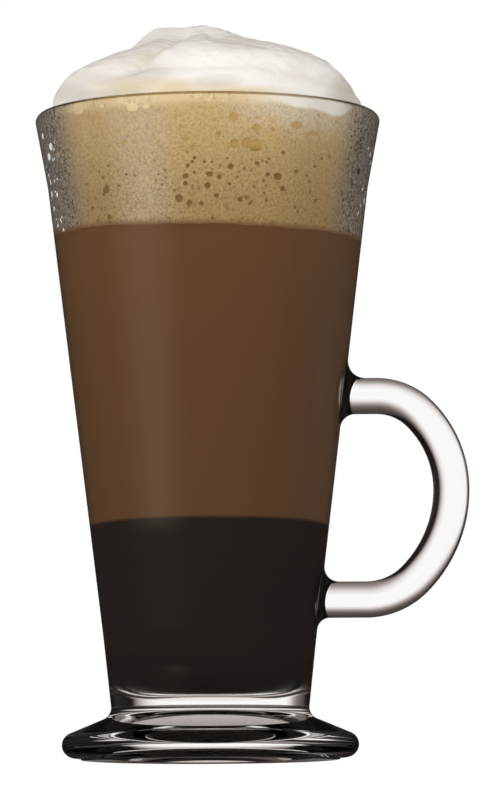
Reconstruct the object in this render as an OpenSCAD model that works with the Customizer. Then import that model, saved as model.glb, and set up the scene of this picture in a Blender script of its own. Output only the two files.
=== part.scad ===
// A footed glass mug with a loop handle, filled in layers: black coffee, milky coffee, foam and cream.
// Millimetres. +Z is up. The origin is on the mug's axis, in the plane that the foot ring stands on.

/* [Bowl] */
// Height of the rim above the table
mug_height = 150; // [140:1:165]
// Outer diameter of the rim
rim_diameter = 80.2; // [76:0.2:86]
// Height of the flared lip below the rim
lip_height = 17; // [10:1:22]
// Outer diameter at the foot of the flared lip
shoulder_diameter = 74.5; // [70:0.2:75.8]
// Height of the waist, where the short lower cone meets the long upper one
waist_height = 28; // [26:1:32]
// Outer diameter at the waist
waist_diameter = 49.2; // [48:0.2:54]
// Outer diameter of the neck, where the bowl stands on the foot
neck_diameter = 45.8; // [44:0.1:48]
// Thickness of the glass wall
wall_thickness = 3.2; // [2.4:0.1:4]
// Thickness of the glass under the drink, above the foot
floor_thickness = 2.4; // [1.8:0.1:5]
// Radius of the corner between the inner floor and the wall
corner_radius = 13.5; // [5:0.5:15]

/* [Foot] */
// Outer diameter of the foot
foot_diameter = 68.6; // [64:0.2:76]
// Radius of the foot's rounded outer edge
foot_edge_radius = 2.9; // [2:0.1:4]
// Slope of the foot's upper side, in degrees
foot_slope = 22.7; // [16:0.1:28]
// Radius of the hollow between the foot and the neck
neck_fillet_radius = 3; // [1.5:0.1:4]
// Outer diameter of the ring that the mug stands on
ring_diameter = 59.8; // [56:0.2:61]
// Width of the standing ring
ring_width = 11; // [2:0.5:14]
// Height of the standing ring below the foot's underside
ring_height = 0.5; // [0.3:0.1:1.2]
// Depth of the domed recess inside the ring
punt_depth = 7; // [1:0.1:8]

/* [Handle] */
// Diameter of the handle's round bar
bar_diameter = 8.4; // [7:0.1:10]
// Height of the upper arm's axis
upper_arm_height = 84.1; // [80:0.2:92]
// Height of the lower arm's axis
lower_arm_height = 36.8; // [34:0.1:44]
// Share of the way from the lower arm up to the upper one at which the loop reaches farthest out
widest_share = 0.541; // [0.45:0.001:0.62]
// Length of the upper arm's straight part, between its flare and its bend
upper_arm_length = 3; // [0.5:0.1:8]
// Radius of the bar's centre line in the bend after the upper arm
upper_bend_radius = 14; // [10:0.5:16]
// Radius of the bar's centre line in the bend before the lower arm
lower_bend_radius = 15.9; // [10:0.1:17]
// Radius of the flare where the upper arm meets the bowl
upper_flare_radius = 3.8; // [2:0.1:5.2]
// Radius of the flare where the lower arm meets the bowl
lower_flare_radius = 3.2; // [2:0.1:5.2]
// Share by which each flare is wider above its arm, and narrower below it
flare_lean = 0.2; // [0:0.05:0.4]

/* [Drink] */
// Gap between the drink and the glass
drink_clearance = 0.1; // [0.05:0.05:0.3]
// Depth of the black coffee over the glass floor
black_coffee_depth = 39.7; // [25:0.1:56]
// Depth of the foam between the milky coffee and the cream crown
foam_depth = 25.1; // [10:0.1:44]
// Depth below the rim at which the foam ends and the cream crown begins
crown_depth = 3.6; // [2:0.2:8]
// Height of the cream crown's rounded cap above its base
crown_height = 21.8; // [12:0.2:26]
// Height that the crown's peak adds to the cap
peak_height = 3.6; // [0:0.2:6]
// Spread of the crown's peak
peak_spread = 12.5; // [8:0.5:14]
// Distance of the peak from the mug's axis, away from the handle
peak_offset = 6.5; // [0:0.5:8]

/* [Hidden] */
$fn = 128;

// Steps in a rounded outline, in a bend of the handle and in a flare
outline_steps = 10;
bend_steps = 7;
flare_steps = 6;
// Sides of the handle's bar
bar_sides = 32;
// Rings and sides of the cream crown
crown_rings = 12;
crown_sides = 48;
// Exponents of the crown's rounded cap
crown_edge_power = 1.6;
crown_top_power = 0.33;
// Share of a quarter turn at which each flare runs out onto the bowl
flare_end_share = 0.12;

// Depth to which each end of the handle's bar reaches into the bowl's wall before it is trimmed
arm_overrun = wall_thickness;

rim_radius = rim_diameter / 2;
shoulder_radius = shoulder_diameter / 2;
waist_radius = waist_diameter / 2;
neck_radius = neck_diameter / 2;
shoulder_height = mug_height - lip_height;
lip_round = wall_thickness / 2;
lip_lean = atan((rim_radius - shoulder_radius) / lip_height);

// The foot's edge, its sloping top and the hollow below the neck, each tangent to the next
foot_edge_centre = [foot_diameter / 2 - foot_edge_radius, ring_height + foot_edge_radius];
slope_start = foot_edge_centre + foot_edge_radius * [sin(foot_slope), cos(foot_slope)];
hollow_radius = neck_radius + neck_fillet_radius;
hollow_height = slope_start.y + (slope_start.x - hollow_radius) * tan(foot_slope)
    + neck_fillet_radius / cos(foot_slope);
// The bowl stands on the foot where the hollow runs out into the neck
neck_height = hollow_height;

// Height and outer radius of the bowl at each change of its slope
outer_stations = [
    [neck_height, neck_radius],
    [waist_height, waist_radius],
    [shoulder_height, shoulder_radius],
    [mug_height, rim_radius],
];

// The drink's floor and the corner above it
floor_height = neck_height + floor_thickness;
lower_lean = atan((waist_radius - neck_radius) / (waist_height - neck_height));
corner_height = floor_height + corner_radius;
corner_centre = [cavity_radius(corner_height) - corner_radius / cos(lower_lean), corner_height];

// The standing ring and the domed recess inside it
ring_radius = ring_diameter / 2;
punt_radius = ring_radius - ring_width;
punt_sphere = (punt_radius * punt_radius + punt_depth * punt_depth) / (2 * punt_depth);
punt_centre = [0, punt_depth - punt_sphere];
punt_half_angle = asin(punt_radius / punt_sphere);

// The handle's centre line: two bends and two wider sweeps, an eighth of a turn each
bar_radius = bar_diameter / 2;
eighth = 45;
quarter = 90;
widest_height = lower_arm_height + widest_share * (upper_arm_height - lower_arm_height);
upper_sweep_radius = (upper_arm_height - widest_height - upper_bend_radius * (1 - cos(eighth)))
    / sin(eighth);
lower_sweep_radius = (widest_height - lower_arm_height - lower_bend_radius * (1 - cos(eighth)))
    / sin(eighth);
// The upper arm starts from the bowl's side, and the rest of the loop follows it
upper_arm_end = outer_radius(upper_arm_height) + upper_flare_radius * (1 + flare_lean) + upper_arm_length;
handle_reach = upper_arm_end + upper_bend_radius * sin(eighth) + upper_sweep_radius * (1 - cos(eighth));
lower_arm_end = handle_reach - lower_sweep_radius * (1 - cos(eighth)) - lower_bend_radius * sin(eighth);

// The drink's layers: the black coffee is poured on the floor, the foam and the crown hang from the rim
black_coffee_height = floor_height + black_coffee_depth;
crown_base_height = mug_height - crown_depth;
milky_coffee_height = crown_base_height - foam_depth;
crown_radius = cavity_radius(crown_base_height) - drink_clearance;

function outer_radius(height) = lookup(height, outer_stations);

function cavity_radius(height) = outer_radius(height) - wall_thickness;

// Points on an arc in an outline
function arc(centre, radius, from, to, steps = outline_steps) = [
    for (i = [0 : steps])
        let (angle = from + (to - from) * i / steps)
        centre + radius * [cos(angle), sin(angle)]
];

// The corner of the cavity, from its floor up to its wall, drawn in by a gap
function corner_arc(gap) = arc(corner_centre, corner_radius - gap, -90, -lower_lean);

// Points up the cavity's wall between two heights, drawn in by a gap
function wall_points(low, high, gap) = [
    for (station = outer_stations)
        if (station[0] > low && station[0] < high)
            [station[1] - wall_thickness - gap, station[0]]
];

function reversed(points) = [for (i = [len(points) - 1 : -1 : 0]) points[i]];

// One layer of the drink above the corner, as the outline to revolve
function layer_outline(low, high) = concat(
    [[0, low], [cavity_radius(low) - drink_clearance, low]],
    wall_points(low, high, drink_clearance),
    [[cavity_radius(high) - drink_clearance, high], [0, high]]
);

// Distance of the bowl's outer surface from the YZ plane, at a place seen along X
function bowl_face(y, z) = sqrt(pow(outer_radius(z), 2) - y * y);

// One ring of a flare: as it turns towards the bowl, its radius grows and its gap to the bowl closes
function flare_ring(arm_height, side, flare_radius, turn, overrun) = [
    for (i = [0 : bar_sides - 1])
        let (
            angle = 360 * i / bar_sides,
            flare = flare_radius * (1 + flare_lean * side * cos(angle)),
            spread = bar_radius + flare * (1 - sin(turn)),
            y = spread * sin(angle),
            z = arm_height + side * spread * cos(angle)
        )
        [bowl_face(y, z) + flare * (1 - cos(turn)) - overrun, y, z]
];

function flare_rings(arm_height, side, flare_radius) = concat(
    [flare_ring(arm_height, side, flare_radius, quarter * flare_end_share, arm_overrun)],
    [
        for (i = [0 : flare_steps])
            let (turn = quarter * (flare_end_share + (1 - flare_end_share) * i / flare_steps))
            flare_ring(arm_height, side, flare_radius, turn, 0)
    ]
);

// Rings of the bar round a bend whose centre and radius are given in the XZ plane
function bend_rings(centre, radius, from, to, first) = [
    for (step = [first : bend_steps])
        let (turn = from + (to - from) * step / bend_steps)
        [
            for (i = [0 : bar_sides - 1])
                let (
                    angle = 360 * i / bar_sides,
                    out = radius + bar_radius * cos(angle)
                )
                [centre.x + out * cos(turn), bar_radius * sin(angle), centre.y + out * sin(turn)]
        ]
];

handle_rings = concat(
    flare_rings(upper_arm_height, 1, upper_flare_radius),
    bend_rings(
        [upper_arm_end, upper_arm_height - upper_bend_radius], upper_bend_radius, quarter, eighth, 0
    ),
    bend_rings([handle_reach - upper_sweep_radius, widest_height], upper_sweep_radius, eighth, 0, 1),
    bend_rings([handle_reach - lower_sweep_radius, widest_height], lower_sweep_radius, 0, -eighth, 1),
    bend_rings(
        [lower_arm_end, lower_arm_height + lower_bend_radius], lower_bend_radius, -eighth, -quarter, 1
    ),
    reversed(flare_rings(lower_arm_height, -1, lower_flare_radius))
);

// Height of the crown's surface above the table at a place seen from above
function crown_surface(share, angle) =
    let (
        x = crown_radius * share * cos(angle),
        y = crown_radius * share * sin(angle),
        cap = crown_height * pow(1 - pow(share, crown_edge_power), crown_top_power),
        away = (pow(x + peak_offset, 2) + y * y) / (peak_spread * peak_spread),
        fade = 1 - pow(share, crown_edge_power)
    )
    crown_base_height + cap + peak_height * exp(-away) * fade;

// The crown's rings lie closer together towards its steep edge
function crown_ring(step) =
    let (share = sin(90 * (crown_rings - step) / crown_rings))
    [
        for (i = [0 : crown_sides - 1])
            let (angle = 360 * i / crown_sides)
            [
                crown_radius * share * cos(angle),
                crown_radius * share * sin(angle),
                step == 0 ? crown_base_height : crown_surface(share, angle)
            ]
    ];

// A closed skin over a stack of equal rings, with a point at each end
module skin(rings, first_point, last_point) {
    sides = len(rings[0]);
    count = len(rings);
    points = concat([first_point], [for (ring = rings) each ring], [last_point]);
    last = len(points) - 1;
    function at(ring, side) = 1 + ring * sides + side % sides;
    faces = concat(
        [for (i = [0 : sides - 1]) [0, at(0, i + 1), at(0, i)]],
        [
            for (ring = [0 : count - 2], i = [0 : sides - 1])
                each [
                    [at(ring, i), at(ring, i + 1), at(ring + 1, i + 1)],
                    [at(ring, i), at(ring + 1, i + 1), at(ring + 1, i)]
                ]
        ],
        [for (i = [0 : sides - 1]) [last, at(count - 1, i), at(count - 1, i + 1)]]
    );
    polyhedron(points, faces);
}

// The space inside the bowl's outer surface, which also trims the handle's ends
module bowl_outside() {
    rotate_extrude()
        polygon(concat([[0, neck_height]], [for (s = outer_stations) [s[1], s[0]]], [[0, mug_height]]));
}

module bowl() {
    color([0.82, 0.88, 0.9, 0.4])
        rotate_extrude()
            polygon(concat(
                [[0, neck_height], [neck_radius, neck_height], [waist_radius, waist_height]],
                [[shoulder_radius, shoulder_height]],
                arc(
                    [rim_radius - lip_round, mug_height - lip_round],
                    lip_round, -lip_lean, 180 - lip_lean
                ),
                reversed(wall_points(corner_height, mug_height, 0)),
                reversed(corner_arc(0)),
                [[0, floor_height]]
            ));
}

module foot() {
    color([0.78, 0.85, 0.88, 0.4])
        rotate_extrude()
            polygon(concat(
                [[0, neck_height]],
                [[0, punt_depth]],
                reversed(arc(punt_centre, punt_sphere, 90 - punt_half_angle, 90)),
                [[punt_radius, 0], [ring_radius, 0], [ring_radius, ring_height]],
                arc(foot_edge_centre, foot_edge_radius, -90, 90 - foot_slope),
                reversed(arc([hollow_radius, hollow_height], neck_fillet_radius, 180, 270 - foot_slope))
            ));
}

module handle() {
    color([0.8, 0.87, 0.9, 0.45])
        difference() {
            skin(handle_rings, [0, 0, upper_arm_height], [0, 0, lower_arm_height]);
            bowl_outside();
        }
}

module black_coffee() {
    color([0.14, 0.12, 0.11])
        rotate_extrude()
            polygon(concat(
                [[0, floor_height + drink_clearance]],
                corner_arc(drink_clearance),
                wall_points(corner_height, black_coffee_height, drink_clearance),
                [[cavity_radius(black_coffee_height) - drink_clearance, black_coffee_height]],
                [[0, black_coffee_height]]
            ));
}

module milky_coffee() {
    color([0.38, 0.27, 0.16])
        rotate_extrude()
            polygon(layer_outline(black_coffee_height, milky_coffee_height));
}

module foam_head() {
    color([0.66, 0.56, 0.4])
        rotate_extrude()
            polygon(layer_outline(milky_coffee_height, crown_base_height));
}

module cream_crown() {
    color([0.95, 0.93, 0.89])
        skin(
            [for (step = [0 : crown_rings - 1]) crown_ring(step)],
            [0, 0, crown_base_height],
            [0, 0, crown_surface(0, 0)]
        );
}

bowl();
foot();
handle();
black_coffee();
milky_coffee();
foam_head();
cream_crown();
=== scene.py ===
"""Looks of a footed glass mug with a layered coffee drink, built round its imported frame."""

import math
import random

import bpy
import numpy as np
from mathutils import Matrix, Vector


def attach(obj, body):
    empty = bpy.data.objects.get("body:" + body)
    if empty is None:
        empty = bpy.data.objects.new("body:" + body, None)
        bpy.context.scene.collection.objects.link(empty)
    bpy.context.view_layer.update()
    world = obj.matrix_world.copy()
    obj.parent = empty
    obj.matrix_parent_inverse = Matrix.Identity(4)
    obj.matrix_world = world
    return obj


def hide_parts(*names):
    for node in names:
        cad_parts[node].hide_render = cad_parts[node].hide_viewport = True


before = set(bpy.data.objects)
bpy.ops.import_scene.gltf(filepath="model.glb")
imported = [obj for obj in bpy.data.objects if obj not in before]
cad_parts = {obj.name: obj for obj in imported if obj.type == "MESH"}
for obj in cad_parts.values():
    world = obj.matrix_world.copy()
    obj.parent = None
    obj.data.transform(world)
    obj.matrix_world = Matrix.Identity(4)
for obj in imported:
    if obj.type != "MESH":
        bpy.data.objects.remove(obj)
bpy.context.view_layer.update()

MM = 0.001

# Driving sizes of the mug in millimetres, as in the part's source
MUG_HEIGHT = 150.0
RIM_RADIUS = 40.1
LIP_HEIGHT = 17.0
SHOULDER_RADIUS = 37.25
WAIST_HEIGHT = 28.0
WAIST_RADIUS = 24.6
NECK_RADIUS = 22.9
WALL = 3.2
FLOOR_THICKNESS = 2.4
CORNER_RADIUS = 13.5
FOOT_RADIUS = 34.3
FOOT_EDGE = 2.9
FOOT_SLOPE = math.radians(22.7)
NECK_FILLET = 3.0
RING_RADIUS = 29.9
RING_WIDTH = 11.0
RING_HEIGHT = 0.5
PUNT_DEPTH = 7.0
BAR_RADIUS = 4.2
UPPER_ARM = 84.1
LOWER_ARM = 36.8
WIDEST_SHARE = 0.541
UPPER_ARM_LENGTH = 3.0
UPPER_BEND = 14.0
LOWER_BEND = 15.9
UPPER_FLARE = 3.8
LOWER_FLARE = 3.2
FLARE_LEAN = 0.2
FLARE_SLIM = 0.45
BLACK_TOP = 54.2
MILKY_TOP = 121.3

SHOULDER_HEIGHT = MUG_HEIGHT - LIP_HEIGHT
EIGHTH = math.pi / 4
# Points of an outline nearer the axis than this lie on it
ON_AXIS = 1e-6


def arc(centre, radius, start, end, steps=16):
    """Points on an arc in an outline of (radius, height) pairs; the angles are in radians."""
    turns = [start + (end - start) * i / steps for i in range(steps + 1)]
    return [(centre[0] + radius * math.cos(t), centre[1] + radius * math.sin(t)) for t in turns]


# The foot's edge, slope and hollow are tangent to each other; the neck stands where the hollow ends
FOOT_EDGE_CENTRE = (FOOT_RADIUS - FOOT_EDGE, RING_HEIGHT + FOOT_EDGE)
SLOPE_START = (
    FOOT_EDGE_CENTRE[0] + FOOT_EDGE * math.sin(FOOT_SLOPE),
    FOOT_EDGE_CENTRE[1] + FOOT_EDGE * math.cos(FOOT_SLOPE),
)
HOLLOW_RADIUS = NECK_RADIUS + NECK_FILLET
NECK_HEIGHT = (
    SLOPE_START[1]
    + (SLOPE_START[0] - HOLLOW_RADIUS) * math.tan(FOOT_SLOPE)
    + NECK_FILLET / math.cos(FOOT_SLOPE)
)
CAVITY_FLOOR = NECK_HEIGHT + FLOOR_THICKNESS
STATIONS = [
    (NECK_HEIGHT, NECK_RADIUS), (WAIST_HEIGHT, WAIST_RADIUS),
    (SHOULDER_HEIGHT, SHOULDER_RADIUS), (MUG_HEIGHT, RIM_RADIUS),
]


def outer_radius(height):
    return float(np.interp(height, [s[0] for s in STATIONS], [s[1] for s in STATIONS]))


LIP_ROUND = WALL / 2
LIP_LEAN = math.atan((RIM_RADIUS - SHOULDER_RADIUS) / LIP_HEIGHT)
LIP_CENTRE = (RIM_RADIUS - LIP_ROUND, MUG_HEIGHT - LIP_ROUND)
LIP_END = (
    LIP_CENTRE[0] - LIP_ROUND * math.cos(LIP_LEAN),
    LIP_CENTRE[1] + LIP_ROUND * math.sin(LIP_LEAN),
)
INNER_STATIONS = [(z, r - WALL) for z, r in STATIONS[:-1]] + [LIP_END[::-1]]


def cavity_radius(height):
    if height > LIP_END[1]:
        return LIP_CENTRE[0] - math.sqrt(max(0.0, LIP_ROUND**2 - (height - LIP_CENTRE[1]) ** 2))
    return float(np.interp(height, [s[0] for s in INNER_STATIONS], [s[1] for s in INNER_STATIONS]))


LOWER_LEAN = math.atan((WAIST_RADIUS - NECK_RADIUS) / (WAIST_HEIGHT - NECK_HEIGHT))
CORNER_CENTRE = (
    cavity_radius(CAVITY_FLOOR + CORNER_RADIUS) - CORNER_RADIUS / math.cos(LOWER_LEAN),
    CAVITY_FLOOR + CORNER_RADIUS,
)


def corner_arc(gap):
    """The rounded corner of the cavity, from its floor up to its wall, drawn in by a gap."""
    return arc(CORNER_CENTRE, CORNER_RADIUS - gap, -math.pi / 2, -LOWER_LEAN)


def wall_points(low, high, gap, spacing=3.0):
    """Points up the cavity's wall between two heights, the ends included."""
    count = max(1, round((high - low) / spacing))
    heights = {low + (high - low) * i / count for i in range(count + 1)}
    heights |= {s[0] for s in STATIONS if low < s[0] < high}
    return [(cavity_radius(z) - gap, z) for z in sorted(heights)]


def neighbours(count):
    """Pairs of neighbouring places round a ring."""
    return [(i, (i + 1) % count) for i in range(count)]


def link_object(name, data):
    obj = bpy.data.objects.new(name, data)
    bpy.context.scene.collection.objects.link(obj)
    return obj


def new_object(name, verts, faces, materials, slots=None, sharp=35):
    """A mesh from points in millimetres, smooth but for edges sharper than an angle in degrees."""
    mesh = bpy.data.meshes.new(name)
    mesh.from_pydata([Vector(v) * MM for v in verts], [], faces)
    mesh.validate()
    for material in materials:
        mesh.materials.append(material)
    mesh.shade_smooth()
    mesh.set_sharp_from_angle(angle=math.radians(sharp))
    if slots:
        mesh.polygons.foreach_set("material_index", slots)
    return link_object(name, mesh)


def revolve(name, outline, materials, sides=192, slot_of=lambda k: 0):
    """A closed solid turned about Z; the outline runs anticlockwise from the axis to the axis."""
    verts, faces, rows, slots = [], [], [], []
    for r, z in outline:
        on_axis = r < ON_AXIS
        rows.append([len(verts)] if on_axis else list(range(len(verts), len(verts) + sides)))
        turns = [2 * math.pi * i / sides for i in range(sides)]
        verts += [(0, 0, z)] if on_axis else [(r * math.cos(t), r * math.sin(t), z) for t in turns]
    for k, (a, b) in enumerate(zip(rows, rows[1:])):
        for i, j in neighbours(sides):
            if len(a) == 1:
                faces.append((a[0], b[j], b[i]))
            elif len(b) == 1:
                faces.append((a[i], a[j], b[0]))
            else:
                faces.append((a[i], a[j], b[j], b[i]))
            slots.append(slot_of(k))
    return new_object(name, verts, faces, materials, slots)


class Nodes:
    """Short calls for building the node tree of a material or a world."""

    def __init__(self, owner):
        owner.use_nodes = True
        self.owner, self.tree = owner, owner.node_tree
        self.tree.nodes.clear()

    def finish(self, shader, kind="OutputMaterial"):
        self.add(kind, {"Surface": shader})
        return self.owner

    def add(self, kind, values=None, **settings):
        """The outputs of a new node; values has a link or a constant for some of its inputs."""
        node = self.tree.nodes.new("ShaderNode" + kind)
        for name, value in settings.items():
            setattr(node, name, value)
        for name, value in (values or {}).items():
            socket = node.inputs[name]
            if isinstance(value, bpy.types.NodeSocket):
                self.tree.links.new(value, socket)
            else:
                socket.default_value = (*value, 1.0) if socket.type == "RGBA" else value
        return node.outputs

    def math(self, operation, a, b=0.0, c=0.0):
        return self.add("Math", {0: a, 1: b, 2: c}, operation=operation)[0]

    def plus(self, a, b):
        return self.math("ADD", a, b)

    def minus(self, a, b):
        return self.math("SUBTRACT", a, b)

    def times(self, first, *others):
        for other in others:
            first = self.math("MULTIPLY", first, other)
        return first

    def line(self, value, slope, start):
        """A straight line: the slope times the value, plus the start."""
        return self.math("MULTIPLY_ADD", value, slope, start)

    def above(self, value, limit):
        return self.math("GREATER_THAN", value, limit)

    def step(self, value, start, end):
        """0 before the start and 1 past the end, smooth between them; the end may be lower."""
        values = {"Value": value, "From Min": start, "From Max": end}
        return self.add("MapRange", values, interpolation_type="SMOOTHSTEP")["Result"]

    def axes(self, place):
        """The x, y and z of a place."""
        return self.add("SeparateXYZ", {0: place})

    def ramp(self, factor, stops):
        """A colour ramp; stops are (place, grey) or (place, (r, g, b))."""
        colour = self.add("ValToRGB", {"Fac": factor})["Color"]
        elements = colour.node.color_ramp.elements
        while len(elements) < len(stops):
            elements.new(0.5)
        for element, (place, value) in zip(elements, stops):
            element.position = place
            rgb = value if isinstance(value, tuple) else (value,) * 3
            element.color = (*rgb, 1.0)
        return colour

    def mix(self, factor, a, b, blend="MIX"):
        values = {0: factor, 6: a, 7: b}
        return self.add("Mix", values, data_type="RGBA", blend_type=blend)[2]

    def shader_mix(self, factor, a, b):
        return self.add("MixShader", {0: factor, 1: a, 2: b})[0]


def new_material(name):
    return Nodes(bpy.data.materials.new(name))


def position(n):
    """Place in the mug's own frame, in metres."""
    return n.add("TexCoord")["Object"]


def between(n, value, rise, fall):
    """1 between a rise and a fall, which are each the start and the end of a soft step."""
    return n.times(n.step(value, *rise), n.step(value, *fall))


def squeezed(n, place, scale):
    return n.add("Mapping", {"Vector": place, "Scale": scale})[0]


def noise(n, place, scale, detail=2.0):
    values = {"Vector": place, "Scale": scale, "Detail": detail}
    return n.add("TexNoise", values)["Fac"]


def cells(n, place, scale):
    return n.add("TexVoronoi", {"Vector": place, "Scale": scale})


def scattered(n, place, scale, edge, core, share):
    """Round spots in the cells whose random number is above a share, from edge to core."""
    cell = cells(n, place, scale)
    number = n.add("SeparateColor", {0: cell["Color"]})[0]
    return n.times(n.step(cell["Distance"], edge, core), n.above(number, share))


def matt(n, colour, normal=None, roughness=0.9):
    """A dull wet body with no gloss of its own: the glass in front of it gives the gloss."""
    values = {"Base Color": colour, "Roughness": roughness, "Specular IOR Level": 0.0}
    if normal:
        values["Normal"] = normal
    return n.add("BsdfPrincipled", values)[0]


def bump(n, height, strength, distance):
    values = {"Height": height, "Strength": strength, "Distance": distance * MM}
    return n.add("Bump", values)["Normal"]


GLASS_IOR = 1.5
# Tint of the painted shade where the handle's arms join the bowl
JOIN_SHADE_TINT = (0.3, 0.28, 0.26)
# A strip of the bowl would mirror the handle's bar as a thin line: its lean, and in metres its
# soft edges across and its soft ends
STRIP_LEAN = 0.08
STRIP_EDGES = ((0.0175, 0.0185), (0.023, 0.022))
STRIP_ENDS = ((0.034, 0.037), (0.094, 0.088))


def glass_material(name, tint, joins=(), plain=None):
    """Clear glass; lamps reach what is inside it. Over a join, the (height, radius) of a handle
    arm, it is tinted dark: painted shade.
    Between the two heights of plain, and in the strip, the glass mirrors nothing."""
    n = new_material(name)
    body = {"Roughness": 0.0, "IOR": GLASS_IOR}
    glass = {"Base Color": tint, "Transmission Weight": 1.0, **body}
    surface = n.add("BsdfPrincipled", glass)[0]
    if joins:
        x, y, z = n.axes(position(n))
        # Painted shade: the glass is tinted dark over each join
        fused = n.add("BsdfTransparent", {"Color": JOIN_SHADE_TINT})[0]
        for height, radius in joins:
            dz = n.minus(z, height * MM)
            square = n.plus(n.times(y, y), n.times(dz, dz))
            near = n.math("LESS_THAN", square, (radius * MM) ** 2)
            surface = n.shader_mix(n.times(near, n.above(x, 0.0)), surface, fused)
        low, high = plain[0] * MM, plain[1] * MM
        band = between(n, z, (low, low + MM), (high, high - MM))
        across = n.minus(x, n.times(z, STRIP_LEAN))
        strip = n.times(between(n, across, *STRIP_EDGES), between(n, z, *STRIP_ENDS))
        strip = n.times(strip, n.math("LESS_THAN", y, 0.0))
        bend = n.add("BsdfRefraction", {"Color": tint, **body})[0]
        surface = n.shader_mix(n.math("MAXIMUM", band, strip), surface, bend)
    path = n.add("LightPath")
    through = n.math("MAXIMUM", path["Is Shadow Ray"], path["Is Diffuse Ray"])
    clear = n.add("BsdfTransparent")[0]
    return n.finish(n.shader_mix(through, surface, clear))


def seam_material():
    """A face inside the fused glass, where two gathers meet: nothing shows there."""
    n = new_material("fused_seam")
    return n.finish(n.add("BsdfTransparent")[0])


SEAM_SHADE_TONES = ((0.012, 0.0105, 0.009), (0.02, 0.017, 0.0145))


def seam_shade_material():
    """The fused joint of an arm, painted nearly black as shade, for the glass bends light so far
    there that it looks nearly black.
    """
    n = new_material("dark_seam")
    tone = n.mix(noise(n, position(n), 900.0), *SEAM_SHADE_TONES)
    clear = n.add("BsdfTransparent")[0]
    return n.finish(n.shader_mix(0.12, matt(n, tone), clear))


SEAM = seam_material()
FLARE_END = 0.03
CAP_RINGS = 6
# Heights between which the bowl mirrors nothing, as in the photo
PLAIN_BAND = (20.0, 29.5)
# Segments of the bowl's outline on the top of its rim
RIM_TOP = range(47, 55)


def flare_foot(height, flare):
    """Height and radius of the ring where a flare runs out onto the bowl."""
    left = 1 - math.sin(FLARE_END * math.pi / 2)
    return height + flare * FLARE_LEAN * left, BAR_RADIUS + flare * left


BOWL_GLASS = glass_material(
    "bowl_glass",
    (0.99, 0.99, 0.985),
    [flare_foot(UPPER_ARM, UPPER_FLARE), flare_foot(LOWER_ARM, LOWER_FLARE)],
    PLAIN_BAND,
)
# The very top of the rim bends the light so far that it shows as a thin brown line, painted here as
# a brown tint of the glass
RIM_PAINTED_LINE_GLASS = glass_material("rim_glass", (0.27, 0.19, 0.1))
FOOT_GLASS = glass_material("foot_glass", (0.985, 0.985, 0.98))
# The recess glass is tinted darker, a painted shade, so less light comes through it
RECESS_SHADE_GLASS = glass_material("recess_glass", (0.42, 0.39, 0.37))
HANDLE_GLASS = glass_material("handle_glass", (0.985, 0.98, 0.98))


def add_piece(obj, node):
    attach(obj, "root")
    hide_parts(node)


def make_bowl():
    outside = [(outer_radius(z), z) for z in np.linspace(NECK_HEIGHT, SHOULDER_HEIGHT, 41)]
    lip_top = arc(LIP_CENTRE, LIP_ROUND, -LIP_LEAN, math.pi - LIP_LEAN, 24)
    inside = wall_points(CAVITY_FLOOR + CORNER_RADIUS, SHOULDER_HEIGHT, 0)[::-1]
    outline = [
        (0, NECK_HEIGHT), *outside, *lip_top, *inside, *corner_arc(0)[::-1], (0, CAVITY_FLOOR),
    ]
    bowl = revolve(
        "mug_bowl", outline, [BOWL_GLASS, SEAM, RIM_PAINTED_LINE_GLASS], sides=256,
        slot_of=lambda k: 1 if k == 0 else 2 if k in RIM_TOP else 0,
    )
    add_piece(bowl, "bowl")


def make_foot():
    punt_radius = RING_RADIUS - RING_WIDTH
    sphere = (punt_radius**2 + PUNT_DEPTH**2) / (2 * PUNT_DEPTH)
    half = math.asin(punt_radius / sphere)
    punt = arc((0, PUNT_DEPTH - sphere), sphere, math.pi / 2, math.pi / 2 - half)
    edge = arc(FOOT_EDGE_CENTRE, FOOT_EDGE, -math.pi / 2, math.pi / 2 - FOOT_SLOPE, 24)
    hollow = arc((HOLLOW_RADIUS, NECK_HEIGHT), NECK_FILLET, 1.5 * math.pi - FOOT_SLOPE, math.pi)
    ring = [(RING_RADIUS, 0), (RING_RADIUS, RING_HEIGHT)]
    outline = [*punt, *ring, *edge, *hollow, (0, NECK_HEIGHT)]
    last = len(outline) - 2
    foot = revolve(
        "mug_foot", outline, [FOOT_GLASS, SEAM, RECESS_SHADE_GLASS], sides=256,
        slot_of=lambda k: 1 if k == last else 2 if k < len(punt) - 1 else 0,
    )
    add_piece(foot, "foot")


def bowl_face(y, z):
    return math.sqrt(outer_radius(z) ** 2 - y * y)


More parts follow.
